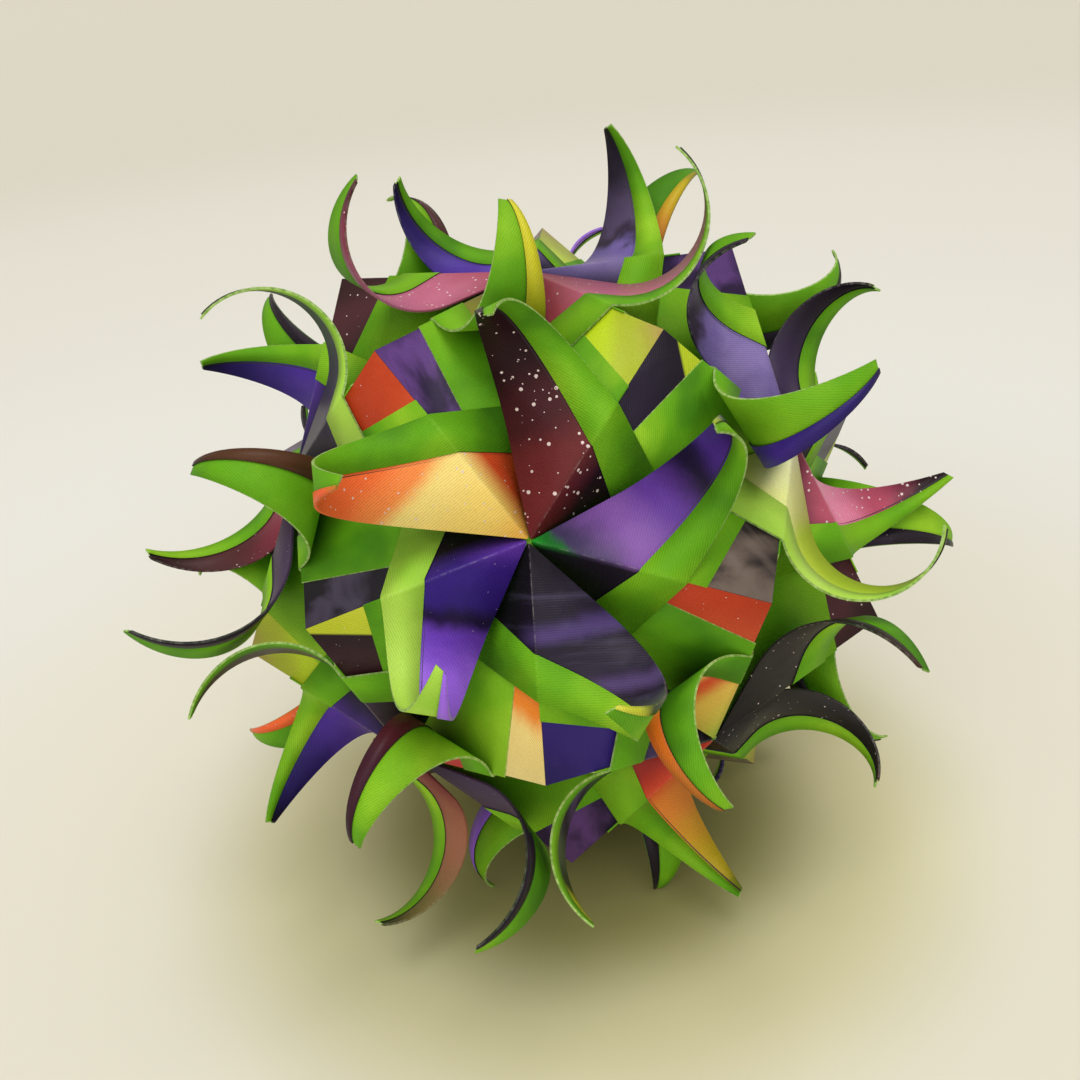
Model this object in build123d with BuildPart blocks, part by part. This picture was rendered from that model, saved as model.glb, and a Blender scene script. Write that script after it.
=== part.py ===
"""Kusudama paper ball: folded strips, one along each edge of an icosahedron.

Every strip has two facets that meet in a valley. Three facets of three strips make a low
pyramid. At each vertex five strip ends cross a ridge and curl up as free petals.
Millimetres, +Z up, the ball stands on the five petals round its lowest vertex.
"""

import os
from math import asin, atan, cos, radians, sin, sqrt, tan

from build123d import *

# Size of the ball and its paper
edge_length = 50.0
sheet_thickness = 0.3
hem_thickness = 0.2
seam_gap = 0.06
vertex_hole_radius = 0.7
flap_setback = 0.7
tip_width = 2.0

# Folding lines, as shares of the ridge length or of the edge length
pocket_ridge_share = 0.73
flap_ridge_share = 0.65
flap_valley_share = 0.475
print_ridge_share = 0.455
print_valley_share = 0.295
petal_flat_share = 0.025
tab_start_share = 0.32
tab_end_share = 0.72
tab_taper_share = 0.08
tab_depth_share = 0.16

# How a petal curls: lift off the facet and turn of the curl in degrees, length as a share
# of the edge length. The table holds the petals that curl in their own way, named by the
# rosette they grow from and the one they point at.
petal_steps = 7
usual_curl = (30, 158, 1.0)
own_curls = {
    ("top", "upper_1"): (28, 209, 0.99),
    ("top", "upper_2"): (33, 166, 1.0),
    ("top", "upper_3"): (28, 163, 1.01),
    ("top", "upper_4"): (16, 148, 0.99),
    ("top", "upper_5"): (32, 170, 1.01),
    ("upper_1", "lower_1"): (47, 163, 1.01),
    ("upper_1", "lower_5"): (22, 215, 1.0),
    ("upper_1", "top"): (37, 144, 1.0),
    ("upper_1", "upper_2"): (21, 158, 1.0),
    ("upper_1", "upper_5"): (44, 168, 1.0),
    ("upper_2", "lower_1"): (35, 185, 1.01),
    ("upper_2", "lower_2"): (25, 117, 1.0),
    ("upper_2", "top"): (16, 140, 0.98),
    ("upper_2", "upper_1"): (48, 186, 1.02),
    ("upper_2", "upper_3"): (23, 171, 1.0),
    ("upper_3", "upper_2"): (38, 159, 1.01),
    ("upper_4", "top"): (36, 165, 1.0),
    ("upper_5", "lower_4"): (32, 135, 1.02),
    ("upper_5", "lower_5"): (40, 134, 1.03),
    ("upper_5", "top"): (41, 180, 1.02),
    ("upper_5", "upper_1"): (36, 205, 1.0),
    ("upper_5", "upper_4"): (25, 170, 1.0),
    ("lower_1", "foot"): (29, 142, 1.0),
    ("lower_1", "lower_2"): (29, 175, 1.0),
    ("lower_1", "lower_5"): (19, 141, 0.98),
    ("lower_1", "upper_1"): (23, 185, 0.99),
    ("lower_1", "upper_2"): (30, 123, 1.01),
    ("lower_2", "lower_1"): (27, 141, 1.0),
    ("lower_2", "upper_2"): (43, 160, 1.03),
    ("lower_3", "upper_3"): (36, 150, 1.01),
    ("lower_3", "upper_4"): (42, 146, 1.03),
    ("lower_4", "upper_5"): (30, 158, 1.0),
    ("lower_5", "foot"): (48, 162, 1.03),
    ("lower_5", "lower_1"): (39, 153, 1.01),
    ("lower_5", "lower_4"): (33, 156, 1.02),
    ("lower_5", "upper_1"): (37, 198, 1.0),
    ("lower_5", "upper_5"): (24, 143, 1.0),
}

# Sizes that follow from the edge length
golden = (1 + sqrt(5)) / 2
mid_radius = edge_length * golden / 2
vertex_radius = edge_length * sqrt(golden * sqrt(5)) / 2
face_radius = edge_length * golden**2 / (2 * sqrt(3))
apex_radius = face_radius + edge_length / sqrt(6)
ridge_length = edge_length / sqrt(2)
facet_height = edge_length / 2
facet_rise = apex_radius * face_radius / mid_radius - mid_radius
slope = asin(facet_rise / facet_height)
valley_overlap = 2 * sheet_thickness * tan(slope)
pocket_height = pocket_ridge_share * facet_height
flap_ridge = flap_ridge_share * ridge_length
flap_valley = flap_valley_share * edge_length
print_ridge = print_ridge_share * ridge_length
print_valley = print_valley_share * edge_length
ring_elevation = atan(1 / 2)


def ring_point(azimuth, elevation):
    """A corner of the icosahedron from its azimuth in degrees and elevation in radians."""
    level = vertex_radius * cos(elevation)
    return Vector(
        level * cos(radians(azimuth)), level * sin(radians(azimuth)), vertex_radius * sin(elevation)
    )


def strip_sides():
    """Start, end, apex and valley direction of both facets, in the frame of the strip."""
    sides = []
    for side in (1, -1):
        start = Vector(-side * edge_length / 2, 0, mid_radius)
        end = Vector(side * edge_length / 2, 0, mid_radius)
        apex = Vector(0, side * facet_height * cos(slope), mid_radius + facet_rise)
        sides.append((start, end, apex, (end - start).normalized()))
    return sides


def folded_facets():
    """The two facets with pocket sheets, flaps, hems and tabs, the ball's centre as origin."""
    with BuildPart() as facets:
        # Base sheet, the pocket sheet on it, and the lower half of the flap
        for start, end, apex, valley in strip_sides():
            normal = valley.cross(apex - start).normalized()
            base = Plane(origin=start - normal * 2 * sheet_thickness, x_dir=valley, z_dir=normal)
            with BuildSketch(base):
                Polygon(
                    (0, -valley_overlap),
                    (edge_length, -valley_overlap),
                    (edge_length, 0),
                    (edge_length / 2, facet_height),
                    (0, 0),
                    align=None,
                )
            extrude(amount=sheet_thickness)
            with BuildSketch(base.offset(sheet_thickness)):
                Polygon(
                    (0, -valley_overlap),
                    (edge_length, -valley_overlap),
                    (edge_length, 0),
                    (edge_length - pocket_height, pocket_height),
                    (0, 0),
                    align=None,
                )
                Polygon(
                    (0, 0),
                    (flap_valley, 0),
                    (flap_ridge / sqrt(2), flap_ridge / sqrt(2)),
                    align=None,
                )
            extrude(amount=sheet_thickness)

        # Mitres along the four ridges
        for start, end, apex, valley in strip_sides():
            for corner in (start, end):
                inward = corner.cross(apex).normalized()
                if inward.Z < 0:
                    inward = -inward
                cut = Plane(origin=inward * seam_gap / 2, z_dir=inward)
                split(bisect_by=cut, keep=Keep.TOP)

        for start, end, apex, valley in strip_sides():
            normal = valley.cross(apex - start).normalized()
            ridge = (apex - start).normalized()

            # Flap that comes over the pocket, set back from the edge of the next petal,
            # and the hem turned over its outer side
            with BuildSketch(Plane(origin=start, x_dir=valley, z_dir=normal)):
                Polygon(
                    (flap_setback, flap_setback),
                    (flap_valley, flap_setback),
                    (flap_ridge / sqrt(2), flap_ridge / sqrt(2)),
                    align=None,
                )
            extrude(amount=sheet_thickness)
            hem_plane = Plane(origin=start + normal * sheet_thickness, x_dir=valley, z_dir=normal)
            with BuildSketch(hem_plane):
                Polygon(
                    (print_valley, flap_setback),
                    (flap_valley, flap_setback),
                    (flap_ridge / sqrt(2), flap_ridge / sqrt(2)),
                    (print_ridge / sqrt(2), print_ridge / sqrt(2)),
                    align=None,
                )
            extrude(amount=hem_thickness)

            # Hidden tab that reaches under the neighbouring facet
            far_ridge = (apex - end).normalized()
            under = end - ridge * (2 * sheet_thickness + seam_gap)
            with BuildSketch(Plane(origin=under, x_dir=far_ridge, z_dir=-ridge)):
                Polygon(
                    (tab_start_share * ridge_length, 1.5 * sheet_thickness),
                    (tab_end_share * ridge_length, 1.5 * sheet_thickness),
                    ((tab_end_share - tab_taper_share) * ridge_length, tab_depth_share * edge_length),
                    ((tab_start_share + tab_taper_share) * ridge_length, tab_depth_share * edge_length),
                    align=None,
                )
            extrude(amount=sheet_thickness)

            # Blunt end at the small hole where the strips meet
            axis = start.normalized()
            away = (valley - axis * valley.dot(axis)).normalized()
            split(bisect_by=Plane(origin=away * vertex_hole_radius, z_dir=away), keep=Keep.TOP)
    return facets.part


def skin(*points):
    """A flat face through the points."""
    return Face(Wire.make_polygon(points, close=True))


def petal(start, end, apex, curl):
    """The sheet that goes over the ridge and curls up, as one solid of flat faces."""
    lift, turn, length_share = radians(curl[0]), radians(curl[1]), curl[2]
    valley = (end - start).normalized()
    normal = valley.cross(apex - start).normalized()
    ridge = (apex - start).normalized()
    inner = (end - apex).normalized()
    down = -normal * cos(lift) - inner * sin(lift)
    outward = -inner * cos(lift) + normal * sin(lift)

    # Flat pattern: along the ridge from the rosette, and away from the ridge
    reach = length_share * edge_length / sqrt(2)
    middle = flap_ridge / 2
    length = sqrt((reach - middle) ** 2 + reach**2)
    along = ((reach - middle) / length, reach / length)
    across = (-along[1], along[0])
    flat = middle * along[0] + petal_flat_share * length

    def offset(distance, foot):
        """Across the petal at this distance, how far the line from foot to the tip lies."""
        centre = (middle + distance * along[0], distance * along[1])
        rise = (reach - foot, reach)
        run = (centre[0] - foot) * rise[1] - centre[1] * rise[0]
        return -run / (across[0] * rise[1] - across[1] * rise[0])

    straight = ridge * along[0] + down * along[1]
    sideways = ridge * across[0] + down * across[1]
    root = start + ridge * middle
    width = offset(flat, 0) - offset(flat, flap_ridge)
    curl_length = (length - flat) * (1 - tip_width / width)
    bend_radius = (length - flat) / turn

    # Each rib holds the lower hem side, lower fold side, upper fold side, the print's end
    # and the hem above it, and the upper hem side
    top = sheet_thickness + hem_thickness
    first = flap_setback * sqrt(2)
    ribs = []
    for step in range(petal_steps + 1):
        distance = flat + curl_length * step / petal_steps
        angle = (distance - flat) / bend_radius
        spot = root + straight * (flat + bend_radius * sin(angle))
        spot = spot + outward * bend_radius * (1 - cos(angle))
        face_out = outward * cos(angle) - straight * sin(angle)
        fold = spot + sideways * offset(distance, 0)
        edge = spot + sideways * offset(distance, print_ridge)
        hem = spot + sideways * offset(distance, flap_ridge)
        ribs.append(
            (
                hem,
                fold,
                fold + face_out * sheet_thickness,
                edge + face_out * sheet_thickness,
                edge + face_out * top,
                hem + face_out * top,
            )
        )

    # Root on the ridge: flat against the flap, with the bend over the ridge
    def bent(height):
        """The edge of the fold, seen along the ridge, at this height over the facet."""
        return normal * height - inner * height * (cos(lift) - (1 - sin(lift)) * tan(lift))

    near, print_end, far = start + ridge * first, start + ridge * print_ridge, start + ridge * flap_ridge
    under, over = normal * sheet_thickness, normal * top
    low, high = bent(sheet_thickness), bent(top)
    hem0, fold0, print0, step0, edge0, outer0 = ribs[0]
    faces = [
        skin(near, near + under, print_end + under, print_end + over, far + over, far),
        skin(near + under, near + low, print_end + low, print_end + under),
        skin(print_end + over, print_end + high, far + high, far + over),
        skin(print_end + under, print_end + low, print_end + high, print_end + over),
        skin(near + low, print0, step0, print_end + low),
        skin(print_end + high, edge0, outer0, far + high),
        skin(print_end + low, step0, edge0),
        skin(print_end + low, edge0, print_end + high),
        skin(near, far, hem0, fold0),
        skin(near, near + low, near + under),
        skin(near, fold0, print0),
        skin(near, print0, near + low),
        skin(far, far + over, far + high),
        skin(far, far + high, outer0),
        skin(far, outer0, hem0),
    ]
    for this, after in zip(ribs, ribs[1:]):
        for here, there in ((0, 1), (2, 3), (4, 5)):
            faces.append(skin(this[here], this[there], after[there], after[here]))
        for here, there in ((1, 2), (3, 4), (5, 0)):
            faces.append(skin(this[here], this[there], after[there]))
            faces.append(skin(this[here], after[there], after[here]))
    faces.append(skin(*ribs[-1]))
    return Solid(Shell(faces)).fix()


# Corners of the icosahedron: one rosette at the top, two rings of five, one below
rosettes = {"top": Vector(0, 0, vertex_radius), "foot": Vector(0, 0, -vertex_radius)}
for turn in range(5):
    rosettes[f"upper_{turn + 1}"] = ring_point(-90 + 72 * turn, ring_elevation)
    rosettes[f"lower_{turn + 1}"] = ring_point(-54 + 72 * turn, -ring_elevation)

strip_ends = {}
for turn in range(5):
    number, after = turn + 1, (turn + 1) % 5 + 1
    strip_ends[f"crown_{number}"] = ("top", f"upper_{number}")
    strip_ends[f"shoulder_{number}"] = (f"upper_{number}", f"upper_{after}")
    strip_ends[f"waist_{2 * number - 1}"] = (f"upper_{number}", f"lower_{number}")
    strip_ends[f"waist_{2 * number}"] = (f"lower_{number}", f"upper_{after}")
    strip_ends[f"hip_{number}"] = (f"lower_{number}", f"lower_{after}")
    strip_ends[f"base_{number}"] = (f"lower_{number}", "foot")


def pointed_at(first, second):
    """The rosette that the petal of this strip points at, from the first rosette."""
    for name, point in rosettes.items():
        steps = [(point - rosettes[end]).length / edge_length for end in (first, second)]
        side = (rosettes[second] - rosettes[first]).cross(point - rosettes[first])
        if [round(step, 3) for step in steps] == [1, 1] and side.dot(rosettes[first]) > 0:
            return name


# Every strip has the same facets and its own two petals, and is turned to its own edge
facets = folded_facets()
strips = {}
for name, (first, second) in strip_ends.items():
    petals = []
    for (start, end, apex, valley), (near, far) in zip(strip_sides(), ((first, second), (second, first))):
        curl = own_curls.get((near, pointed_at(near, far)), usual_curl)
        petals.append(petal(start, end, apex, curl))
    with BuildPart() as strip:
        add(facets)
        add(petals)
    begin, finish = rosettes[first], rosettes[second]
    seat = Plane(origin=(0, 0, 0), x_dir=finish - begin, z_dir=begin + finish)
    strips[name] = strip.part.moved(seat.location)

# The lowest petals touch the ground and the ball is centred over it
boxes = [strip.bounding_box() for strip in strips.values()]
left = min(box.min.X for box in boxes)
right = max(box.max.X for box in boxes)
front = min(box.min.Y for box in boxes)
back = max(box.max.Y for box in boxes)
ground = min(box.min.Z for box in boxes)
shift = Location((-(left + right) / 2, -(front + back) / 2, -ground))
os.makedirs("parts", exist_ok=True)
for name, strip in strips.items():
    placed = strip.moved(shift)
    placed.label = name
    export_step(placed, f"parts/{name}.step")
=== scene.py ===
import math

import bmesh
import bpy
from mathutils import Matrix, Vector


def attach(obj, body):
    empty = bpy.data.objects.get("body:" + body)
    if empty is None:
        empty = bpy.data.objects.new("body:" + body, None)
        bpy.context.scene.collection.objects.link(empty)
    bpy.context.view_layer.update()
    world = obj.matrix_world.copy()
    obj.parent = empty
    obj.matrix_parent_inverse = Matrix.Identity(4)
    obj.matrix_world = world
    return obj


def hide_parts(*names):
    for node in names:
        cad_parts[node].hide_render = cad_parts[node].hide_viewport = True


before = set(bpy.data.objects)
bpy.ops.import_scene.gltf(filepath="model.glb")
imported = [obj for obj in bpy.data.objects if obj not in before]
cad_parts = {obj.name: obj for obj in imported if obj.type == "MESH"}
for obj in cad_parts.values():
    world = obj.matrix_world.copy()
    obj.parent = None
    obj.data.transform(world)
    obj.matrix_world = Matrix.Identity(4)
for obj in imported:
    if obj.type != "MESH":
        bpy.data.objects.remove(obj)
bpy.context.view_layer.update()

# The ball as it was folded: an icosahedron with 50 mm between rosettes, standing on five petals
ballSize = {"edge": 0.050, "centre": (-0.000134, -0.000061, 0.0650085)}

edge = ballSize["edge"]
ballCentre = Vector(ballSize["centre"])
golden = (1 + math.sqrt(5)) / 2
midRadius = edge * golden / 2
vertexRadius = edge * math.sqrt(golden * math.sqrt(5)) / 2
faceRadius = edge * golden**2 / (2 * math.sqrt(3))
apexRadius = faceRadius + edge / math.sqrt(6)
facetHeight = edge / 2
facetSlope = math.asin((apexRadius * faceRadius / midRadius - midRadius) / facetHeight)
root2 = math.sqrt(2)


def linear(hexText):
    channels = [int(hexText[i:i + 2], 16) / 255 for i in (1, 3, 5)]
    turned = [c / 12.92 if c <= 0.04045 else ((c + 0.055) / 1.055) ** 2.4 for c in channels]
    return (*turned, 1.0)


def addNode(tree, kind, settings=None, links=None):
    node = tree.nodes.new(kind)
    for name, value in (settings or {}).items():
        if name == "stops":
            points = node.color_ramp.elements
            for point, (place, colour) in ((points[0], value[0]), (points[-1], value[-1])):
                point.position, point.color = place, linear(colour)
            for place, colour in value[1:-1]:
                points.new(place).color = linear(colour)
            node.color_ramp.interpolation = "EASE"
        elif name.startswith("in:"):
            key = name[3:]
            node.inputs[int(key) if key.isdigit() else key].default_value = value
        else:
            setattr(node, name, value)
    for name, source in (links or {}).items():
        tree.links.new(source, node.inputs[int(name) if name.isdigit() else name])
    return node


def startPaper(name):
    # A material with its shader, and the two maps of a strip: mm on the sheet with an offset of
    # its own for each strip, and mm from the corner that the folding starts from
    material = bpy.data.materials.new(name)
    material.use_nodes = True
    tree = material.node_tree
    tree.nodes.clear()
    shader = addNode(tree, "ShaderNodeBsdfPrincipled", {"in:IOR": 1.5})
    addNode(tree, "ShaderNodeOutputMaterial", {}, {"Surface": shader.outputs["BSDF"]})
    sheet = addNode(tree, "ShaderNodeUVMap", {"uv_map": "sheetMm"}).outputs["UV"]
    pleat = addNode(tree, "ShaderNodeUVMap", {"uv_map": "pleatMm"}).outputs["UV"]
    return material, tree, shader, sheet, pleat


# Embossed craft paper: fine broken lines pressed into the sheet, and the slow cockle of a
# sheet that has been folded by hand. Sizes in mm. The real pitch is nearer 0.3 mm, and this
# one is a little coarser so that it shows.
embossing = {
    "pitch": 0.36,
    "grain": 0.5,
    "grainShare": 0.5,
    "depth": 0.07,
    "cockle": 8.0,
    "cockleDepth": 0.45,
    # painted shade in the pressed lines: how much, and over which heights
    "grooveShade": 0.42,
    "grooveFrom": 0.5,
    "grooveTo": 0.1,
}


def embossPaper(tree, shader, sheet, strength):
    lines = addNode(tree, "ShaderNodeTexWave", {
        "bands_direction": "X",
        "in:Scale": math.pi / (10 * embossing["pitch"]),  # a band is pi / 10 wide at scale 1
        "in:Distortion": 2.5, "in:Detail": 3.0, "in:Detail Scale": 2.0}, {"Vector": sheet})
    grain = addNode(tree, "ShaderNodeTexNoise", {
        "in:Scale": 1 / embossing["grain"], "in:Detail": 3.0, "in:Roughness": 0.6},
        {"Vector": sheet})
    height = addNode(tree, "ShaderNodeMix", {"in:0": embossing["grainShare"]},
                     {"2": lines.outputs["Fac"], "3": grain.outputs["Fac"]})
    cockle = addNode(tree, "ShaderNodeTexNoise", {
        "in:Scale": 1 / embossing["cockle"], "in:Detail": 2.0}, {"Vector": sheet})
    slow = addNode(tree, "ShaderNodeBump", {
        "in:Strength": 1.0, "in:Distance": embossing["cockleDepth"] / 1000},
        {"Height": cockle.outputs["Fac"]})
    fine = addNode(tree, "ShaderNodeBump", {
        "in:Strength": strength, "in:Distance": embossing["depth"] / 1000},
        {"Height": height.outputs[0], "Normal": slow.outputs["Normal"]})
    tree.links.new(fine.outputs["Normal"], shader.inputs["Normal"])
    # Painted shade: the pressed lines are darkened in colour, as shade lying in the grooves
    paintedGrooveShade = addNode(tree, "ShaderNodeMapRange", {
        "in:From Min": embossing["grooveFrom"], "in:From Max": embossing["grooveTo"],
        "in:To Max": embossing["grooveShade"]},
        {"Value": height.outputs[0]})
    return paintedGrooveShade.outputs["Result"]


# Ink worn off along a crease, broken up into pieces about 1 mm long
creaseWear = {"piecesPerMm": 0.9, "roughness": 0.75, "wornFrom": 0.44, "wornTo": 0.62}


def wearCreases(tree, sheet, pleat, width, most):
    # Ink breaks off where the sheet is creased: along the ridge and along the fold edge
    place = addNode(tree, "ShaderNodeSeparateXYZ", {}, {"Vector": pleat})
    fromRidge = addNode(tree, "ShaderNodeMath", {"operation": "ABSOLUTE"},
                        {"0": place.outputs["Y"]})
    fromFold = addNode(tree, "ShaderNodeMath", {"operation": "SUBTRACT"},
                       {"0": place.outputs["X"], "1": place.outputs["Y"]})
    onRidge = addNode(tree, "ShaderNodeMath", {"operation": "LESS_THAN", "in:1": width / 2},
                      {"0": fromRidge.outputs[0]})
    onFold = addNode(tree, "ShaderNodeMath", {"operation": "LESS_THAN", "in:1": width},
                     {"0": fromFold.outputs[0]})
    near = addNode(tree, "ShaderNodeMath", {"operation": "MAXIMUM"},
                   {"0": onRidge.outputs[0], "1": onFold.outputs[0]})
    broken = addNode(tree, "ShaderNodeTexNoise", {
        "in:Scale": creaseWear["piecesPerMm"], "in:Detail": 5.0,
        "in:Roughness": creaseWear["roughness"]},
        {"Vector": sheet})
    worn = addNode(tree, "ShaderNodeMapRange", {
        "in:From Min": creaseWear["wornFrom"], "in:From Max": creaseWear["wornTo"],
        "in:To Max": most},
        {"Value": broken.outputs["Fac"]})
    return addNode(tree, "ShaderNodeMath", {"operation": "MULTIPLY"},
                   {"0": near.outputs[0], "1": worn.outputs["Result"]}).outputs[0]


# Finish of the uncoated reverse; the crease's width is in mm
uncoated = {"press": 0.5, "creaseWidth": 0.25, "creaseWorn": 0.16, "roughness": 0.6,
            "specular": 0.12}


def makeGreenPaper(name, look):
    # Uncoated reverse of the sheet: matt and dyed, so its green shifts slowly across the strip
    # and the pressed lines carry painted shade as darker grooves
    material, tree, shader, sheet, pleat = startPaper(name)
    paintedGrooveShade = embossPaper(tree, shader, sheet, uncoated["press"])
    cloud = addNode(tree, "ShaderNodeTexNoise", {
        "in:Scale": 1 / look["cloudMm"], "in:Detail": 3.0, "in:Roughness": 0.45},
        {"Vector": sheet})
    dye = addNode(tree, "ShaderNodeValToRGB", {"stops": look["stops"]},
                  {"Fac": cloud.outputs["Fac"]})
    pressed = addNode(tree, "ShaderNodeMix", {"data_type": "RGBA", "in:7": linear(look["paintedGrooveShade"])},
                      {"0": paintedGrooveShade, "6": dye.outputs["Color"]})
    worn = wearCreases(tree, sheet, pleat, uncoated["creaseWidth"], uncoated["creaseWorn"])
    creased = addNode(tree, "ShaderNodeMix", {"data_type": "RGBA", "in:7": linear(look["crease"])},
                      {"0": worn, "6": pressed.outputs[2]})
    tree.links.new(creased.outputs[2], shader.inputs["Base Color"])
    shader.inputs["Roughness"].default_value = uncoated["roughness"]
    shader.inputs["Specular IOR Level"].default_value = uncoated["specular"]
    return material


# Finish of the printed face. Angles are in degrees from the ridge, lengths and spans in mm.
printed = {
    "press": 0.42,
    "angle": 56,
    "span": 48,
    "cloudsPerMm": 0.09,
    "drift": 0.32,
    "flapFrom": 1.0,
    "flapTo": -4.0,
    "streakScale": (0.3, 0.03, 1.0),
    "streakFrom": 0.54,
    "streakTo": 0.8,
    "streakMost": 0.55,
    "specksPerMm": 1.1,
    "speckFewness": 2.4,
    "speckReach": 0.24,
    "speckColour": "#e6d2cc",
    "paintedGrooveShadeColour": "#7c7480",
    "scuffColour": "#b8b2a8",
    "creaseWidth": 0.14,
    "creaseWorn": 0.22,
    "roughness": 0.38,
    "specular": 0.14,
}


def makePrintedPaper(name, look):
    # Printed face with a satin sheen: soft fields of ink that blend from the rosette outwards
    material, tree, shader, sheet, pleat = startPaper(name)
    paintedGrooveShade = embossPaper(tree, shader, sheet, printed["press"])
    angle = math.radians(look.get("angle", printed["angle"]))
    span = look.get("span", printed["span"])
    along = addNode(tree, "ShaderNodeVectorMath", {
        "operation": "DOT_PRODUCT", "in:1": (math.cos(angle) / span, math.sin(angle) / span, 0)},
        {"0": pleat})
    cloud = addNode(tree, "ShaderNodeTexNoise", {
        "in:Scale": printed["cloudsPerMm"], "in:Detail": 4.0, "in:Roughness": 0.5,
        "in:Distortion": 0.5},
        {"Vector": sheet})
    drift = look.get("drift", printed["drift"])
    wander = addNode(tree, "ShaderNodeMapRange", {
        "clamp": False, "in:To Min": -drift / 2, "in:To Max": drift / 2},
        {"Value": cloud.outputs["Fac"]})
    way = addNode(tree, "ShaderNodeMath", {"operation": "ADD"},
                  {"0": along.outputs["Value"], "1": wander.outputs["Result"]})
    inks = addNode(tree, "ShaderNodeValToRGB", {"stops": look["stops"]}, {"Fac": way.outputs[0]})
    colour = inks.outputs["Color"]
    if look.get("flap"):
        # Inside the ridge the same sheet shows another field of ink
        place = addNode(tree, "ShaderNodeSeparateXYZ", {}, {"Vector": pleat})
        inside = addNode(tree, "ShaderNodeMapRange", {
            "in:From Min": look.get("flapFrom", printed["flapFrom"]),
            "in:From Max": look.get("flapTo", printed["flapTo"])},
            {"Value": place.outputs["Y"]})
        colour = addNode(tree, "ShaderNodeMix", {"data_type": "RGBA", "in:7": linear(look["flap"])},
                         {"0": inside.outputs["Result"], "6": colour}).outputs[2]
    if look.get("streaks"):
        # Brushed bands across the petal
        stretched = addNode(tree, "ShaderNodeMapping", {"in:Scale": printed["streakScale"]},
                            {"Vector": sheet})
        brush = addNode(tree, "ShaderNodeTexNoise", {
            "in:Detail": 5.0, "in:Roughness": 0.6, "in:Scale": 1.0},
            {"Vector": stretched.outputs["Vector"]})
        band = addNode(tree, "ShaderNodeMapRange", {
            "in:From Min": printed["streakFrom"], "in:From Max": printed["streakTo"],
            "in:To Max": printed["streakMost"]},
            {"Value": brush.outputs["Fac"]})
        colour = addNode(tree, "ShaderNodeMix", {
            "data_type": "RGBA", "in:7": linear(look["streaks"])},
            {"0": band.outputs["Result"], "6": colour}).outputs[2]
    if look.get("specks"):
        # Fine pale spatter, about 0.3 mm across in the real print and drawn up to twice as
        # large so that it shows
        dots = addNode(tree, "ShaderNodeTexVoronoi", {"in:Scale": printed["specksPerMm"]},
                       {"Vector": sheet})
        cell = addNode(tree, "ShaderNodeSeparateColor", {}, {"Color": dots.outputs["Color"]})
        size = addNode(tree, "ShaderNodeMath", {
            "operation": "POWER", "in:1": printed["speckFewness"]}, {"0": cell.outputs[0]})
        reach = addNode(tree, "ShaderNodeMath", {
            "operation": "MULTIPLY", "in:1": printed["speckReach"] * look["specks"]},
            {"0": size.outputs[0]})
        dot = addNode(tree, "ShaderNodeMath", {"operation": "LESS_THAN"},
                      {"0": dots.outputs["Distance"], "1": reach.outputs[0]})
        colour = addNode(tree, "ShaderNodeMix", {
            "data_type": "RGBA", "in:7": linear(printed["speckColour"])},
            {"0": dot.outputs[0], "6": colour}).outputs[2]
    # Painted shade darkens the print in the pressed lines
    pressed = addNode(tree, "ShaderNodeMix", {
        "data_type": "RGBA", "blend_type": "MULTIPLY", "in:7": linear(printed["paintedGrooveShadeColour"])},
        {"0": paintedGrooveShade, "6": colour})
    worn = wearCreases(tree, sheet, pleat, printed["creaseWidth"], printed["creaseWorn"])
    creased = addNode(tree, "ShaderNodeMix", {
        "data_type": "RGBA", "in:7": linear(printed["scuffColour"])},
        {"0": worn, "6": pressed.outputs[2]})
    tree.links.new(creased.outputs[2], shader.inputs["Base Color"])
    shader.inputs["Roughness"].default_value = printed["roughness"]
    shader.inputs["Specular IOR Level"].default_value = printed["specular"]
    return material


# The same mottle lies on the painted shade and painted highlight of the rims
mottleMm = 1 / 1.4  # mottle of the pulp at a cut or a crease


def makeMattMottle(name, stops, roughness):
    # Matt and uneven: the bare pulp at a cut, which drinks the ink; the same finish carries the painted
    # highlight of folded edges and the painted shade beside the hems
    material, tree, shader, sheet, _ = startPaper(name)
    mottle = addNode(tree, "ShaderNodeTexNoise", {"in:Scale": 1 / mottleMm, "in:Detail": 3.0},
                     {"Vector": sheet})
    colour = addNode(tree, "ShaderNodeValToRGB", {"stops": stops}, {"Fac": mottle.outputs["Fac"]})
    tree.links.new(colour.outputs["Color"], shader.inputs["Base Color"])
    shader.inputs["Roughness"].default_value = roughness
    return material


# Dyes of the reverse, from the dark of the cloud to its light, and the cloud's size. The paler second
# green is painted light, a lit copy of the first for hems that turn to the light
greens = {
    "greenPaperReverse": {"stops": [(0.32, "#467f13"), (0.46, "#64a417"), (0.57, "#7cb51e"),
                                    (0.7, "#9aca2b")],
                          "paintedGrooveShade": "#28600a", "crease": "#a2d04c", "cloudMm": 24},
    "paintedLitGreenPaperReverse": {"stops": [(0.3, "#8ec434"), (0.5, "#b0d850"), (0.7, "#c6e46c")],
                         "paintedGrooveShade": "#6a9c24", "crease": "#d6ea94", "cloudMm": 26},
}

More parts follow.
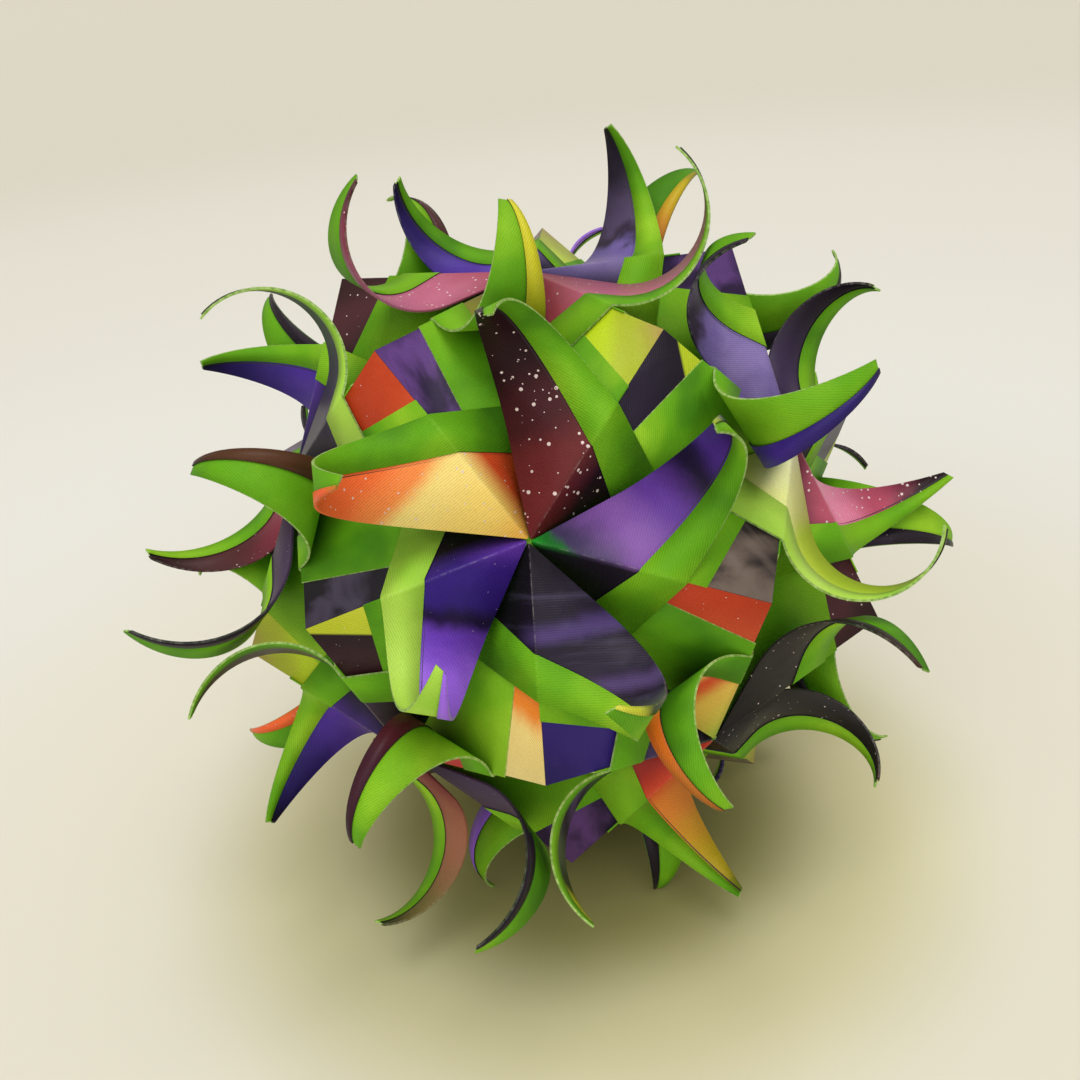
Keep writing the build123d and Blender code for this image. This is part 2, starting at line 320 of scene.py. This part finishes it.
# Inks from the rosette out to the petal's tip, or across a window. Flap is the ink inside the
# ridge, which takes over between flapFrom and flapTo in mm past the ridge; angle and span say
# which way and how far the inks run; drift is how they wander.
looks = {
    "maroon": {"stops": [(0, "#74282a"), (0.18, "#6a2628"), (0.34, "#46181e"), (0.52, "#260e16"),
                         (1, "#1c0e16")], "specks": 1.4, "drift": 0.16, "flap": "#22101a"},
    "orange": {"stops": [(0, "#f6ba50"), (0.2, "#fad870"), (0.4, "#fce284"), (0.5, "#fa9048"),
                         (0.62, "#fa7038"), (0.9, "#f06230"), (1, "#9a8a2a")],
               "specks": 0.9, "angle": 8, "span": 38, "drift": 0.1, "flap": "#e4522a",
               "flapFrom": 0.0, "flapTo": -3.4},
    "purple": {"stops": [(0, "#1f9226"), (0.05, "#24702a"), (0.09, "#453a5c"), (0.24, "#8456a4"),
                         (0.4, "#5e3690"), (0.52, "#1c1030"), (0.62, "#4c2c88"), (0.8, "#2a1850"),
                         (1, "#b4cc3a")],
               "drift": 0.16, "flap": "#1c1024", "flapFrom": 0.2, "flapTo": -0.8},
    "night": {"stops": [(0, "#17111b"), (0.28, "#1f1628"), (0.36, "#4c3a6e"), (0.42, "#1f1728"),
                        (0.54, "#292034"), (0.6, "#54426e"), (0.66, "#28212e"), (0.76, "#5a6650"),
                        (0.84, "#33421f"), (0.91, "#ccd032"), (1, "#dede4c")],
              "angle": 10, "span": 38, "streaks": "#605a78", "drift": 0.1, "flap": "#15101a"},
    "violet": {"stops": [(0, "#7040bc"), (0.12, "#3c2288"), (0.24, "#351e7c"), (0.3, "#20103e"),
                         (0.36, "#6c3cb8"), (0.5, "#a068e6"), (0.9, "#a46ce8"), (1, "#6c46b4")],
               "specks": 0.3, "drift": 0.14, "flap": "#1d101c"},
    "rose": {"stops": [(0, "#a04452"), (0.3, "#c46a86"), (0.55, "#b86c88"), (0.75, "#84384c"),
                       (1, "#26161c")], "specks": 1.0, "flap": "#b04c50", "flapTo": -8.0},
    "lavender": {"stops": [(0, "#6a5a94"), (0.26, "#8c7ab4"), (0.4, "#7462a4"), (0.5, "#33283e"),
                           (0.58, "#564868"), (0.8, "#282030"), (1, "#2a221f")],
                 "drift": 0.5, "flap": "#2c2040"},
    "blueViolet": {"stops": [(0, "#1c1230"), (0.3, "#6440ac"), (0.5, "#4c2f98"), (0.75, "#2c1e64"),
                             (1, "#181222")], "drift": 0.3, "flap": "#1d1428"},
    "lime": {"stops": [(0, "#f8f6d0"), (0.16, "#eef098"), (0.3, "#cce03c"), (0.6, "#b2d41c"),
                       (0.85, "#74842a"), (1, "#2e2c1c")], "drift": 0.2, "flap": "#d8da78",
             "flapFrom": 0.0, "flapTo": -6.0},
    "deepRose": {"stops": [(0, "#6a2a3a"), (0.16, "#c05a72"), (0.4, "#f090b0"), (0.66, "#b04a62"),
                           (0.85, "#26121a"), (1, "#1a1014")], "specks": 1.2, "drift": 0.2},
    "ash": {"stops": [(0, "#1c1a19"), (0.4, "#383430"), (0.75, "#242120"), (1, "#44281c")],
            "specks": 0.8, "flap": "#141213"},
    "sunset": {"stops": [(0, "#d63c26"), (0.25, "#ea6038"), (0.5, "#ec8c3a"), (0.78, "#c0a822"),
                         (1, "#4a6a18")], "drift": 0.18, "flap": "#a82c20"},
    "amber": {"stops": [(0, "#c4da58"), (0.18, "#ecc656"), (0.3, "#dc5026"), (0.4, "#eec056"),
                        (0.6, "#ea7420"), (0.85, "#a8641e"), (1, "#705020")], "drift": 0.16,
              "flap": "#201418"},
    "smoke": {"stops": [(0, "#2e2230"), (0.35, "#4c3c54"), (0.6, "#241b26"), (1, "#120e14")],
              "specks": 0.4, "flap": "#1a141c"},
    "clay": {"stops": [(0, "#5a202c"), (0.25, "#80403e"), (0.55, "#a46a4e"), (0.82, "#807440"),
                       (1, "#36401c")], "drift": 0.2, "flap": "#33161c"},
    "umber": {"stops": [(0, "#241a12"), (0.4, "#45301f"), (0.7, "#553420"), (1, "#22160f")]},
    "mauve": {"stops": [(0, "#a83c58"), (0.35, "#8c3648"), (0.65, "#4e2628"), (1, "#1c1214")],
              "specks": 0.8, "drift": 0.2},
    "plum": {"stops": [(0, "#34121c"), (0.4, "#561e28"), (0.75, "#3c1826"), (1, "#1c0e18")],
             "specks": 0.4, "flap": "#c01c2c", "flapFrom": 5.5, "flapTo": 4.5},
    "olive": {"stops": [(0, "#4e3f1c"), (0.35, "#939420"), (0.7, "#ccc62c"), (1, "#e0d83c")],
              "drift": 0.2},
    "dusk": {"stops": [(0, "#241a2c"), (0.4, "#3a2c4a"), (0.7, "#221826"), (0.9, "#1c141e"),
                       (1, "#9ab82c")], "drift": 0.2},
    "crimson": {"stops": [(0, "#8e1820"), (0.5, "#c82430"), (1, "#a81c26")]},
    "emberWindow": {"stops": [(0, "#a02c14"), (0.4, "#b83c1c"), (0.7, "#cc5028"), (1, "#a83216")],
                    "specks": 0.5, "angle": 0, "span": 50, "drift": 0.5},
    "duskWindow": {"stops": [(0, "#140e1a"), (0.42, "#251638"), (0.56, "#624080"),
                             (0.68, "#2c1b40"), (1, "#15101c")], "angle": 20, "span": 52, "drift": 0.6},
    "limeWindow": {"stops": [(0, "#b4d01c"), (0.5, "#c2da22"), (0.7, "#b0bc2c"), (1, "#b8925c")],
                   "angle": 90, "span": 27, "drift": 0.2},
    "shardWindow": {"stops": [(0, "#150f19"), (0.4, "#231a2c"), (0.54, "#1a1320"),
                              (0.545, "#b6c828"), (1, "#d8e04a")],
                    "angle": 12, "span": 58, "drift": 0.0},
    "shardMaroon": {"stops": [(0, "#1b0e12"), (0.4, "#32181f"), (0.49, "#241117"),
                              (0.495, "#bfc62c"), (1, "#e6d86a")],
                    "angle": 12, "span": 58, "drift": 0.0, "specks": 0.5},
    "smokeWindow": {"stops": [(0, "#1a1415"), (0.4, "#2f2828"), (0.58, "#7c6c62"),
                              (0.72, "#332b2c"), (1, "#191516")], "angle": 20, "span": 56, "drift": 0.6,
                    "streaks": "#8c7e74"},
    "dawnWindow": {"stops": [(0, "#c8481c"), (0.38, "#e46a20"), (0.52, "#ee8628"),
                             (0.62, "#f4d884"), (1, "#f2e4a4")], "angle": 35, "span": 46, "drift": 0.14},
    "indigoWindow": {"stops": [(0, "#201648"), (0.5, "#38267c"), (1, "#241850")],
                     "angle": 60, "span": 40},
    "maroonWindow": {"stops": [(0, "#1b0e12"), (0.5, "#2e161d"), (0.8, "#50262e"), (1, "#321418")],
                     "specks": 0.9, "angle": 70, "span": 30},
    "greyWindow": {"stops": [(0, "#0d0a0f"), (0.46, "#17131b"), (0.56, "#484052"),
                             (0.64, "#1a161f"), (1, "#131015")], "angle": 30, "span": 50, "drift": 0.6},
}

# The second green is a painted lit copy of the first
greenPaper, paintedLitGreenPaper = [makeGreenPaper(name, look) for name, look in greens.items()]
# A thin pale line where the sheet is cut or folded sharp: at a cut the bare core of the sheet, along a
# folded edge a painted highlight as well
cutEdgeAndHighlight = makeMattMottle("paperCutEdgeAndPaintedHighlight", [(0.3, "#739a3a"), (0.7, "#aac672")], 0.8)
# Painted shade: an almost black line in the step beside a hem, and on the rims of plies that lie under
# another
paintedFoldShade = makeMattMottle("paintedShadeInTheFold", [(0.3, "#0f0c10"), (0.7, "#1d161c")], 0.6)
prints = {name: makePrintedPaper(name + "PrintedPaper", look) for name, look in looks.items()}
print("paper materials ready", len(prints) + 4)

# Fold lines on one facet, as shares of the ridge or of the edge; plies, radii and small gaps
# in metres
foldLines = {
    "ply": 0.00022,
    "hemPly": 0.00018,
    "pocketRidge": 0.73,
    "flapRidge": 0.65,
    "flapValley": 0.475,
    "printRidge": 0.455,
    "printValley": 0.295,
    "setback": 0.0003,  # a petal's corner stops short of the rosette's point
    "cornerCut": 0.0002,
    "bendRadius": 0.0005,
    "bendSteps": (-1, -0.5, 0, 0.5, 1),
    "curlSteps": 34,
    "tipWidth": 0.0017,
    "hemTipShare": 0.5,  # of the blunt tip's width that the upper hem takes
    "flatShare": 0.025,
    # width of the painted shade beside a hem
    "paintedShadeLine": 0.00048,
    "rimInk": 0.0006,  # the fold edge carries the print round to here
    "rimClear": 0.0004,
    "rimShare": 0.99,
    "lift": 0.00001,  # air between two plies
    "underStart": 0.0012,
    "underAside": 0.0010,
    "underRidge": 0.42,
    "underTipShare": 0.65,
    "seam": 0.00004,  # air between two strips at a ridge
    "pocketInset": 0.0001,
}
ridgeLength = edge / root2
ply = foldLines["ply"]
hemPly = foldLines["hemPly"]
setback = foldLines["setback"]
flapRidge = foldLines["flapRidge"] * ridgeLength
flapEnd = foldLines["flapValley"] * ridgeLength
printRidge = foldLines["printRidge"] * ridgeLength
printEnd = foldLines["printValley"] * ridgeLength

# Slots of one strip: print of each petal, print of each window, then the plain green, the pale rim with
# its painted highlight and the painted shade, and the paper of each petal's hem, a paler painted-light
# copy on some
slots = {"petal": (0, 1), "window": (2, 3), "green": 4, "edge": 5, "paintedShade": 6, "hem": (7, 8)}


def cutSheet(strip, sheet, lay, moved):
    # A flat outline, cut where it bends or changes colour, thickened and laid in place
    flat = bmesh.new()
    paperUv = flat.loops.layers.uv.new("sheetMm")
    pleatUv = flat.loops.layers.uv.new("pleatMm")
    flat.faces.new([flat.verts.new((x, y, sheet["low"])) for x, y in sheet["outline"]])
    for point, direction in sheet.get("cuts", []):
        bmesh.ops.bisect_plane(
            flat, geom=flat.verts[:] + flat.edges[:] + flat.faces[:], dist=1e-7,
            plane_co=(*point, 0), plane_no=(*direction, 0))
    raised = bmesh.ops.extrude_face_region(flat, geom=flat.faces[:])
    movers = [part for part in raised["geom"] if isinstance(part, bmesh.types.BMVert)]
    bmesh.ops.translate(flat, verts=movers, vec=(0, 0, sheet["high"] - sheet["low"]))
    bmesh.ops.recalc_face_normals(flat, faces=flat.faces[:])
    for face in flat.faces:
        middle = face.calc_center_median()
        if abs(face.normal.z) < 0.5:
            face.material_index = sheet["rim"](middle.x, middle.y)
        elif face.normal.z > 0:
            face.material_index = sheet["top"](middle.x, middle.y)
        else:
            face.material_index = sheet["under"]
        face.smooth = abs(face.normal.z) > 0.5
        for loop in face.loops:
            x, y = loop.vert.co.x * 1000, loop.vert.co.y * 1000
            loop[paperUv].uv = (x + moved[0], y + moved[1])
            loop[pleatUv].uv = (x, y)
    for vert in flat.verts:
        vert.co = lay(*vert.co)
    held = bpy.data.meshes.new("held")
    flat.to_mesh(held)
    flat.free()
    strip.from_mesh(held)
    bpy.data.meshes.remove(held)


def petalPattern(bend):
    root = flapRidge / 2
    reach = bend[2] * ridgeLength
    length = math.hypot(reach - root, reach)
    along = ((reach - root) / length, reach / length)
    across = (-along[1], along[0])
    flat = root * along[0] + foldLines["flatShare"] * length
    return root, along, across, length, flat


def petalLay(start, ridge, inner, normal, bend):
    # The sheet runs over the ridge, bends down by the lift and curls up towards its tip
    lift, turn = math.radians(bend[0]), math.radians(bend[1])
    beta = math.pi / 2 - lift
    radius = foldLines["bendRadius"]
    tangent = radius * math.tan(beta / 2)
    down = -normal * math.cos(lift) - inner * math.sin(lift)
    outward = -inner * math.cos(lift) + normal * math.sin(lift)
    root, along, across, length, flat = petalPattern(bend)
    curlRadius = (length - flat) / turn
    straight = ridge * along[0] + down * along[1]
    sideways = ridge * across[0] + down * across[1]
    foot = start + ridge * root

    def lay(u, v, z):
        if v < -tangent:
            return start + ridge * u - inner * v + normal * z
        if v < tangent:
            phi = beta * (v + tangent) / (2 * tangent)
            face = -inner * math.sin(phi) + normal * math.cos(phi)
            centre = start + ridge * u + inner * tangent - normal * radius
            return centre + face * (radius + z)
        s = (u - root) * along[0] + v * along[1]
        w = (u - root) * across[0] + v * across[1]
        angle = max(s - flat, 0) / curlRadius
        face = outward * math.cos(angle) - straight * math.sin(angle)
        forward = min(s, flat) + curlRadius * math.sin(angle)
        return (foot + straight * forward + outward * curlRadius * (1 - math.cos(angle))
                + sideways * w + face * z)

    return lay


def foldPetal(strip, side, bend, lay, moved):
    # Printed sheet of the flap, over the ridge and out to the petal's tip, with its two hems
    root, along, across, length, flat = petalPattern(bend)
    tip = bend[2] * ridgeLength
    back = 1 - foldLines["tipWidth"] / (flapRidge * along[1])
    foldTip = (tip * back, tip * back)
    hemTip = (flapRidge + (tip - flapRidge) * back, tip * back)
    bow = foldLines["bendRadius"] * math.tan((math.pi / 2 - math.radians(bend[0])) / 2)
    cuts = [((0, k * bow), (0, 1)) for k in foldLines["bendSteps"]]
    steps = foldLines["curlSteps"]
    for k in range(steps):
        s = flat + (length - flat) * k / steps
        cuts.append(((root + along[0] * s, along[1] * s), along))

    # The painted shade line beside the hem, on the petal and on the flap
    paintedShade = foldLines["paintedShadeLine"]
    share = foldLines["hemTipShare"]
    hemStart = (hemTip[0] * share + foldTip[0] * (1 - share), tip * back)
    outer = (hemStart[0] - printRidge, hemStart[1])
    inward = (printEnd - printRidge, -printEnd)
    paintedShadeCuts = [((printRidge - paintedShade, 0), (outer[1], -outer[0])),
               ((printRidge - paintedShade, 0), (inward[1], -inward[0]))]

    inks, green, hem = slots["petal"][side], slots["green"], slots["hem"][side]
    lift, corner = foldLines["lift"], foldLines["cornerCut"]
    rimInk, clear = foldLines["rimInk"], foldLines["rimClear"]

    # A thin band beside the hem's raw edge takes the painted shade
    def face(x, y):
        line = outer if y > 0 else inward
        edgeX = printRidge + line[0] * y / line[1]
        return slots["paintedShade"] if edgeX - paintedShade < x < edgeX else inks

    # The hem's inner rim, beside the print, is painted shade
    def cutRim(x, y):
        outerEdge = flapRidge * foldLines["rimShare"] + y * (tip - flapRidge) / tip - clear
        return slots["edge"] if x > outerEdge else slots["paintedShade"]

    cutSheet(strip, {
        "outline": [(setback, 0), (setback + corner, -corner), (flapEnd, -flapEnd + setback),
                    (flapRidge, 0), hemTip, foldTip],
        "low": 3 * lift, "high": ply, "cuts": cuts + paintedShadeCuts, "top": face, "under": hem,
        "rim": lambda x, y: inks if x - y < rimInk < x - clear else slots["edge"]}, lay, moved)
    cutSheet(strip, {
        "outline": [(printEnd, -printEnd + setback), (flapEnd, -flapEnd + setback),
                    (flapRidge, 0), hemTip, hemStart, (printRidge, 0)],
        "low": ply + lift, "high": ply + hemPly, "cuts": cuts,
        "top": lambda x, y: hem, "under": green, "rim": cutRim}, lay, moved)
    aside, share = foldLines["underAside"], foldLines["underTipShare"]
    cutSheet(strip, {
        "outline": [(setback + foldLines["underStart"], aside),
                    (flapRidge * foldLines["underRidge"], aside),
                    (hemTip[0] * (1 - share) + foldTip[0] * share, tip * back), foldTip],
        "low": -hemPly, "high": 2 * lift, "cuts": cuts,
        "top": lambda x, y: green, "under": inks,
        # Past the print, the back ply's rim is painted shade
        "rim": lambda x, y: inks if x - y < rimInk else slots["paintedShade"]}, lay, moved)


def buildStrip(name, start, end, bends, moved):
    # One folded strip: two facets with their pocket sheets, two flaps and two petals
    strip = bmesh.new()
    strip.loops.layers.uv.new("sheetMm")
    strip.loops.layers.uv.new("pleatMm")
    middle = (start + end).normalized()
    green = slots["green"]
    for side, (a, b) in enumerate(((start, end), (end, start))):
        valley = (b - a).normalized()
        aside = middle.cross(valley)
        upward = aside * math.cos(facetSlope) + middle * math.sin(facetSlope)
        normal = valley.cross(upward)
        origin = a + ballCentre

        def onFacet(x, y, z, origin=origin, valley=valley, upward=upward, normal=normal):
            return origin + valley * x + upward * y + normal * z

        inset = (ply + foldLines["seam"]) * root2
        cutSheet(strip, {
            "outline": [(inset, 0), (edge - inset, 0), (edge / 2, edge / 2 - inset)],
            "low": -2 * ply, "high": -ply, "top": lambda x, y: slots["window"][side],
            # The window sheet's rim is painted shade, where the plate meets its neighbour
            "under": green, "rim": lambda x, y: slots["paintedShade"]}, onFacet, moved[side])
        reach = foldLines["pocketRidge"] * edge / 2
        short = foldLines["pocketInset"]
        cutSheet(strip, {
            "outline": [(short, 0), (edge - short, 0), (edge - reach, reach)],
            "low": -ply, "high": -2 * foldLines["lift"],
            "top": lambda x, y: green, "under": green,
            "rim": lambda x, y: green if y < short / 2 or x > edge - reach else slots["edge"]},
            onFacet, moved[side])
        ridge = (valley + upward).normalized()
        inner = (valley - upward).normalized()
        foldPetal(strip, side, bends[side], petalLay(origin, ridge, inner, normal, bends[side]),
                  moved[side])
    bmesh.ops.remove_doubles(strip, verts=strip.verts[:], dist=1e-7)
    mesh = bpy.data.meshes.new(name)
    strip.to_mesh(mesh)
    strip.free()
    piece = bpy.data.objects.new(name, mesh)
    bpy.context.scene.collection.objects.link(piece)
    return piece


def ringPoint(azimuth, elevation):
    level = vertexRadius * math.cos(elevation)
    return Vector((level * math.cos(math.radians(azimuth)), level * math.sin(math.radians(azimuth)),
                   vertexRadius * math.sin(elevation)))


tilt = math.atan(0.5)
rosettes = {"top": Vector((0, 0, vertexRadius)), "foot": Vector((0, 0, -vertexRadius))}
for k in range(5):
    rosettes["upper%d" % (k + 1)] = ringPoint(-90 + 72 * k, tilt)
    rosettes["lower%d" % (k + 1)] = ringPoint(-54 + 72 * k, -tilt)

# Strips run between neighbours, in rings from the top rosette down to the foot
stripEnds = {}
for k in range(5):
    upper, lower = "upper%d" % (k + 1), "lower%d" % (k + 1)
    nextUpper, nextLower = "upper%d" % ((k + 1) % 5 + 1), "lower%d" % ((k + 1) % 5 + 1)
    stripEnds["crown_%d" % (k + 1)] = ("top", upper)
    stripEnds["shoulder_%d" % (k + 1)] = (upper, nextUpper)
    stripEnds["waist_%d" % (2 * k + 1)] = (upper, lower)
    stripEnds["waist_%d" % (2 * k + 2)] = (lower, nextUpper)
    stripEnds["hip_%d" % (k + 1)] = (lower, nextLower)
    stripEnds["base_%d" % (k + 1)] = (lower, "foot")


def pointedAt(first, second):
    # The rosette that this strip's petal points at, next round the first one
    for name, spot in rosettes.items():
        steps = [(spot - rosettes[end]).length / edge for end in (first, second)]
        side = (rosettes[second] - rosettes[first]).cross(spot - rosettes[first])
        if all(abs(step - 1) < 0.01 for step in steps) and side.dot(rosettes[first]) > 0:
            return name


# Lift and turn in degrees and length share of each petal, by the rosette it grows from and the
# one it points at, and the print it shows. The five that the ball stands on are a little
# shorter, so that their smooth curl stays above the ground.
usualCurl = (30, 158, 1.0)
footCurl = (30, 158, 0.96)
petals = {
    "top>upper1": ((28, 209, 0.99), "olive"),
    "top>upper2": ((33, 166, 1.0), "rose"),
    "top>upper3": ((28, 163, 1.01), "lavender"),
    "top>upper4": ((16, 148, 0.99), "blueViolet"),
    "top>upper5": ((32, 170, 1.01), "rose"),
    "upper1>lower1": ((47, 163, 1.01), "night"),
    "upper1>lower5": ((22, 215, 1.0), "violet"),
    "upper1>top": ((37, 144, 1.0), "maroon"),
    "upper1>upper2": ((21, 158, 1.0), "purple"),
    "upper1>upper5": ((44, 168, 1.0), "orange"),
    "upper2>lower1": ((35, 185, 1.01), "lime"),
    "upper2>lower2": ((25, 117, 1.0), "deepRose"),
    "upper2>top": ((16, 140, 0.98), "lavender"),
    "upper2>upper1": ((48, 186, 1.02), "blueViolet"),
    "upper2>upper3": ((23, 171, 1.0), "dusk"),
    "upper3>upper2": ((38, 159, 1.01), "dusk"),
    "upper4>top": ((36, 165, 1.0), "mauve"),
    "upper5>lower4": ((32, 135, 1.02), "mauve"),
    "upper5>lower5": ((40, 134, 1.03), "smoke"),
    "upper5>top": ((41, 180, 1.02), "dusk"),
    "upper5>upper1": ((36, 205, 1.0), "umber"),
    "upper5>upper4": ((25, 170, 1.0), "blueViolet"),
    "lower1>foot": ((29, 142, 1.0), "sunset"),
    "lower1>lower2": ((29, 175, 1.0), "ash"),
    "lower1>lower5": ((19, 141, 0.98), "night"),
    "lower1>upper1": ((23, 185, 0.99), "amber"),
    "lower1>upper2": ((30, 123, 1.01), "ash"),
    "lower2>lower1": ((27, 141, 1.0), "smoke"),
    "lower2>upper2": ((43, 160, 1.03), "smoke"),
    "lower3>upper3": ((36, 150, 1.01), "violet"),
    "lower3>upper4": ((42, 146, 1.03), "orange"),
    "lower4>upper5": ((30, 158, 1.0), "smoke"),
    "lower5>foot": ((48, 162, 1.03), "clay"),
    "lower5>lower1": ((39, 153, 1.01), "smoke"),
    "lower5>lower4": ((33, 156, 1.02), "blueViolet"),
    "lower5>upper1": ((37, 198, 1.0), "plum"),
    "lower5>upper5": ((24, 143, 1.0), "smoke"),
}

# Petals whose hem takes a paler green as painted light, where it turns to the light, and the prints
# that the petals out of sight take in turn
paintedLitHems = ["upper1>lower5", "upper2>lower1", "upper5>top"]
spareLooks = ["violet", "maroon", "smoke", "orange", "blueViolet", "deepRose", "lime", "ash",
              "lavender", "sunset", "rose", "umber", "night", "mauve"]

# Print seen in the window on each side of a strip: the side to the left of the way from its
# first rosette to its second, then the right
windows = {
    "shoulder_1": ("shardWindow", "smokeWindow"),
    "crown_1": ("limeWindow", "duskWindow"),
    "waist_1": ("emberWindow", "indigoWindow"),
    "waist_10": ("shardMaroon", "dawnWindow"),
    "shoulder_5": ("emberWindow", "greyWindow"),
    "crown_2": ("duskWindow", "limeWindow"),
    "crown_5": ("duskWindow", "maroonWindow"),
    "waist_2": ("emberWindow", "maroonWindow"),
    "waist_9": ("shardWindow", "limeWindow"),
    "hip_5": ("crimson", "duskWindow"),
    "base_5": ("duskWindow", "maroonWindow"),
}
spareWindows = ["duskWindow", "emberWindow", "greyWindow", "limeWindow", "maroonWindow",
                "smokeWindow", "indigoWindow", "dawnWindow", "shardWindow"]

# How far the print moves on from strip to strip and from side to side, in mm, so that no two
# sheets carry the same piece of it
printMoves = {"strip": (37.0, 23.0), "side": (611.0, 313.0)}

made = []
for index, (name, (first, second)) in enumerate(stripEnds.items()):
    bends, petalLooks, ways = [], [], []
    for near, far in ((first, second), (second, first)):
        way = "%s>%s" % (near, pointedAt(near, far))
        # Steps of 5 and 3 through the spare prints keep like ones apart
        spare = spareLooks[(index * 5 + len(bends) * 3) % len(spareLooks)]
        bend, look = petals.get(way, (footCurl if near == "foot" else usualCurl, spare))
        bends.append(bend)
        ways.append(way)
        petalLooks.append(look)
    count = len(spareWindows)
    panes = windows.get(name, (spareWindows[index % count], spareWindows[(index * 4 + 5) % count]))
    alongPrint, acrossPrint = [step * index for step in printMoves["strip"]]
    moved = [(alongPrint, acrossPrint),
             (alongPrint + printMoves["side"][0], acrossPrint + printMoves["side"][1])]
    piece = buildStrip(name + "Paper", rosettes[first], rosettes[second], bends, moved)
    for look in (*petalLooks, *panes):
        piece.data.materials.append(prints[look])
    for material in (greenPaper, cutEdgeAndHighlight, paintedFoldShade):
        piece.data.materials.append(material)
    for way in ways:
        # A hem that turns to the light gets the paler, painted-light green
        piece.data.materials.append(paintedLitGreenPaper if way in paintedLitHems else greenPaper)
    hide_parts(name)
    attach(piece, "root")
    made.append(piece)
print("strips folded", len(made), "faces", sum(len(p.data.polygons) for p in made))

# Floor and room: a pale table without a seam. Its colour holds painted light: a dark painted shadow
# where the ball stands, around it the painted yellow-green of light bounced off the paper, and far out
# it grows a little darker.
setting = {
    "floorSize": 60.0,
    "floorDrop": 0.0002,
    "floorRoughness": 0.8,
    "floorSpecular": 0.2,
    "floor": [(0.0, "#746f3a"), (0.03, "#a49e64"), (0.052, "#d8d1a4"), (0.09, "#e3decb"),
              (0.22, "#e6e3da"), (0.5, "#e0dcd0"), (0.95, "#d6d1c2")],
    "room": "#f0ede6",
    "seen": "#e1dbcb",
    "roomLight": 0.31,
}
floorMesh = bmesh.new()
bmesh.ops.create_grid(floorMesh, x_segments=1, y_segments=1, size=setting["floorSize"] / 2)
bmesh.ops.translate(floorMesh, verts=floorMesh.verts[:], vec=(0, 0, -setting["floorDrop"]))
floorData = bpy.data.meshes.new("floor")
floorMesh.to_mesh(floorData)
floorMesh.free()
floor = bpy.data.objects.new("floor", floorData)
bpy.context.scene.collection.objects.link(floor)
# Matt paint, which takes the shadow and shows no gleam; the painted shadow and bounce light near the
# ball are in its colour
floorMaterial = bpy.data.materials.new("matPaintedTable")
floorMaterial.use_nodes = True
floorTree = floorMaterial.node_tree
floorShader = floorTree.nodes["Principled BSDF"]
place = addNode(floorTree, "ShaderNodeTexCoord")
spread = addNode(floorTree, "ShaderNodeVectorMath", {"operation": "LENGTH"},
                 {"0": place.outputs["Object"]})
# Painted shadow and bounce light, by distance from the middle of the floor
paintedShadowTone = addNode(floorTree, "ShaderNodeValToRGB", {"stops": setting["floor"]},
               {"Fac": spread.outputs["Value"]})
floorTree.links.new(paintedShadowTone.outputs["Color"], floorShader.inputs["Base Color"])
floorShader.inputs["Roughness"].default_value = setting["floorRoughness"]
floorShader.inputs["Specular IOR Level"].default_value = setting["floorSpecular"]
floorData.materials.append(floorMaterial)

# The room gives soft light and, where the camera looks past the table, the table's own tone
world = bpy.data.worlds.new("softRoom")
bpy.context.scene.world = world
world.use_nodes = True
room = world.node_tree
seen = addNode(room, "ShaderNodeBackground", {"in:Color": linear(setting["seen"])})
lit = room.nodes["Background"]
lit.inputs["Color"].default_value = linear(setting["room"])
lit.inputs["Strength"].default_value = setting["roomLight"]
rays = addNode(room, "ShaderNodeLightPath")
mirrored = addNode(room, "ShaderNodeMath", {"operation": "MAXIMUM"},
                   {"0": rays.outputs["Is Camera Ray"], "1": rays.outputs["Is Glossy Ray"]})
through = addNode(room, "ShaderNodeMath", {"operation": "MAXIMUM"},
                  {"0": mirrored.outputs[0], "1": rays.outputs["Is Transmission Ray"]})
chosen = addNode(room, "ShaderNodeMixShader", {}, {
    "0": through.outputs[0], "1": lit.outputs["Background"], "2": seen.outputs["Background"]})
room.links.new(chosen.outputs["Shader"], room.nodes["World Output"].inputs["Surface"])

# A soft ceiling light almost straight above, and a wider one from behind the camera
lamps = {
    "ceiling": {"from": (0.1, -0.08, 1.0), "strength": 1.75, "spread": 44},
    "front": {"from": (-0.15, -1.0, 0.5), "strength": 1.6, "spread": 80},
}
for lampName, lamp in lamps.items():
    sun = bpy.data.lights.new(lampName, "SUN")
    sun.energy = lamp["strength"]
    sun.angle = math.radians(lamp["spread"])
    light = bpy.data.objects.new(lampName, sun)
    light.rotation_euler = (-Vector(lamp["from"])).to_track_quat("-Z", "Y").to_euler()
    bpy.context.scene.collection.objects.link(light)
print("table, room and lamps ready", len(lamps))

# The camera looks at the front rosette from where the photo was taken. Turn is in degrees from
# facing it squarely, and distance is in edges.
view = {"turn": (1.418, -4.683, 3.515), "distance": 4.357, "lens": 40.42,
        "sensor": 36, "shiftX": -0.0152, "shiftY": -0.0079}
turnVector = Vector([math.radians(t) for t in view["turn"]])
turned = Matrix.Rotation(turnVector.length, 3, turnVector.normalized()).transposed()
faceOut = rosettes["upper1"].normalized()
faceUp = (Vector((0, 0, 1)) - faceOut * faceOut.z).normalized()
faceRight = faceUp.cross(faceOut)
toWorld = Matrix((faceRight, faceUp, faceOut)).transposed()
aimed = toWorld @ turned
cameraData = bpy.data.cameras.new("camera")
cameraData.lens = view["lens"]
cameraData.sensor_width = view["sensor"]
cameraData.shift_x = view["shiftX"]
cameraData.shift_y = view["shiftY"]
camera = bpy.data.objects.new("camera", cameraData)
camera.matrix_world = Matrix.Translation(
    ballCentre + aimed @ Vector((0, 0, view["distance"] * edge))) @ aimed.to_4x4()
bpy.context.scene.collection.objects.link(camera)
bpy.context.scene.camera = camera
bpy.context.scene.view_settings.view_transform = "Standard"
print("camera at", [round(c, 3) for c in camera.matrix_world.translation])
